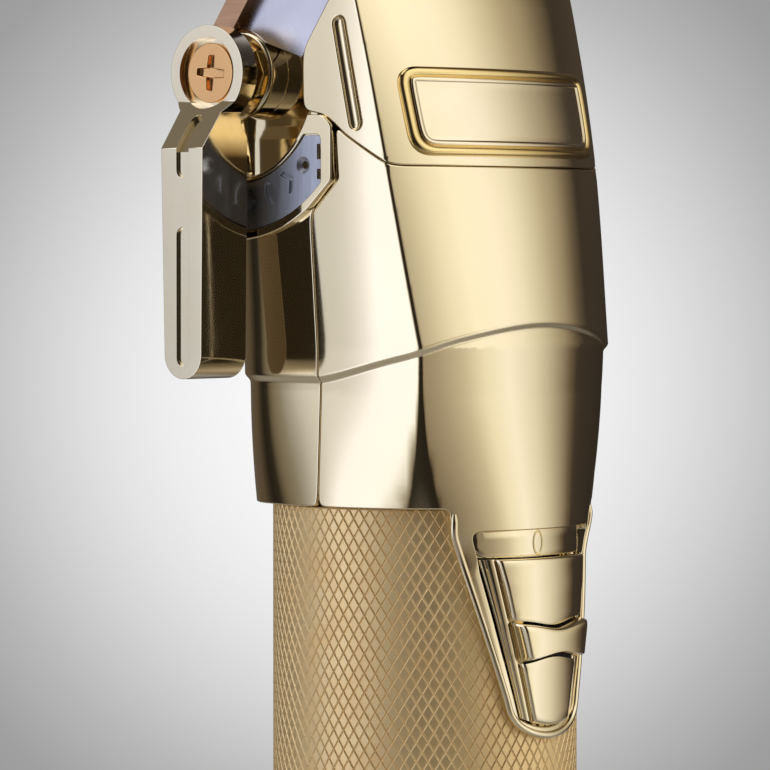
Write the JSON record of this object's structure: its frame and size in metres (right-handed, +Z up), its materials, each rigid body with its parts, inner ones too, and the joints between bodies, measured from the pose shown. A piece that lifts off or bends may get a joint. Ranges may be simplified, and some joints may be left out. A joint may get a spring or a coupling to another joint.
{
  "type": "hair clipper",
  "caption": "Cordless hair clipper with a knurled metal barrel, polished housing, slanted blade set, side taper lever and a thumb switch on the front.",
  "frame": {"origin": "centre of the base, on the barrel's axis", "axes": "+Z up along the barrel to the blades, -Y out of the face with the switch, -X to the side of the lever"},
  "size_m": [0.0552, 0.0427, 0.1768],
  "materials": {
    "knurl": "satin copper-gold anodising over a fine diamond knurl",
    "gold": "mirror-polished pale gold plating",
    "plate_gold": "polished yellow gold frame with a pale panel",
    "lever_metal": "polished pale champagne plating",
    "rose_gold": "orange-gold plated screw",
    "blade_bronze": "bronze-coated hardened steel",
    "cutter_black": "black coated hardened steel",
    "chassis_silver": "polished silver",
    "steel": "brushed blue-grey steel",
    "plain_steel": "plain steel",
    "black_plastic": "fine matt",
    "white_plastic": "fine matt",
    "cell_wrap": "shrink-wrapped cell",
    "board": "solder mask",
    "contact": "gold-plated",
    "rubber": "soft rubber",
    "lens": "clear lens"
  },
  "bodies": {
    "housing": {"grip_sleeve": "knurl", "barrel_liner": "black_plastic", "front_shell": "gold", "rear_shell": "gold", "head_cover": "gold", "name_plate": "plate_gold", "blade_chassis": "chassis_silver", "stop_plate": "steel", "fixed_blade": "blade_bronze", "blade_screws": "plain_steel", "shell_screws": "plain_steel", "motor_can": "plain_steel", "motor_end_cap": "black_plastic", "motor_bearing": "contact", "motor_cushion": "rubber", "motor_screws": "plain_steel", "circuit_board": "board", "board_posts": "white_plastic", "switch_board": "board", "micro_switch": "black_plastic", "lever_bush": "contact", "end_cap": "gold", "charge_jack": "black_plastic", "charge_contacts": "contact", "status_light": "lens", "charge_board": "board", "cell_rings": "white_plastic", "battery_cell": "cell_wrap", "cell_tabs": "plain_steel"},
    "rotor": {"motor_shaft": "plain_steel", "drive_eccentric": "plain_steel"},
    "lever": {"lever_arm": "lever_metal", "lever_screw": "rose_gold", "lever_shaft": "gold", "stop_ball": "plain_steel", "stop_spring": "plain_steel"},
    "carriage": {"taper_carriage": "black_plastic", "tension_spring": "plain_steel"},
    "cutter": {"moving_cutter": "cutter_black", "cam_follower": "white_plastic"},
    "switch": {"slide_button": "gold", "button_link": "black_plastic"}
  },
  "joints": [
    {"name": "lever_swing", "type": "hinge", "parent": "housing", "child": "lever", "pos_m": [-0.0249, 0.0128, 0.1473], "axis": [-1, 0, 0], "range_deg": [0, 43]},
    {"name": "taper_slide", "type": "slide", "parent": "housing", "child": "carriage", "axis": [0, -0.5736, 0.8192], "range_m": [0, 0.0015]},
    {"name": "cutter_stroke", "type": "slide", "parent": "carriage", "child": "cutter", "axis": [1, 0, 0], "range_m": [-0.001, 0.001]},
    {"name": "motor_spin", "type": "hinge", "parent": "housing", "child": "rotor", "pos_m": [0, 0.0024, 0.15], "axis": [0, 0, 1], "continuous": true},
    {"name": "switch_slide", "type": "slide", "parent": "housing", "child": "switch", "axis": [0, 0, 1], "range_m": [0, 0.003]}
  ]
}
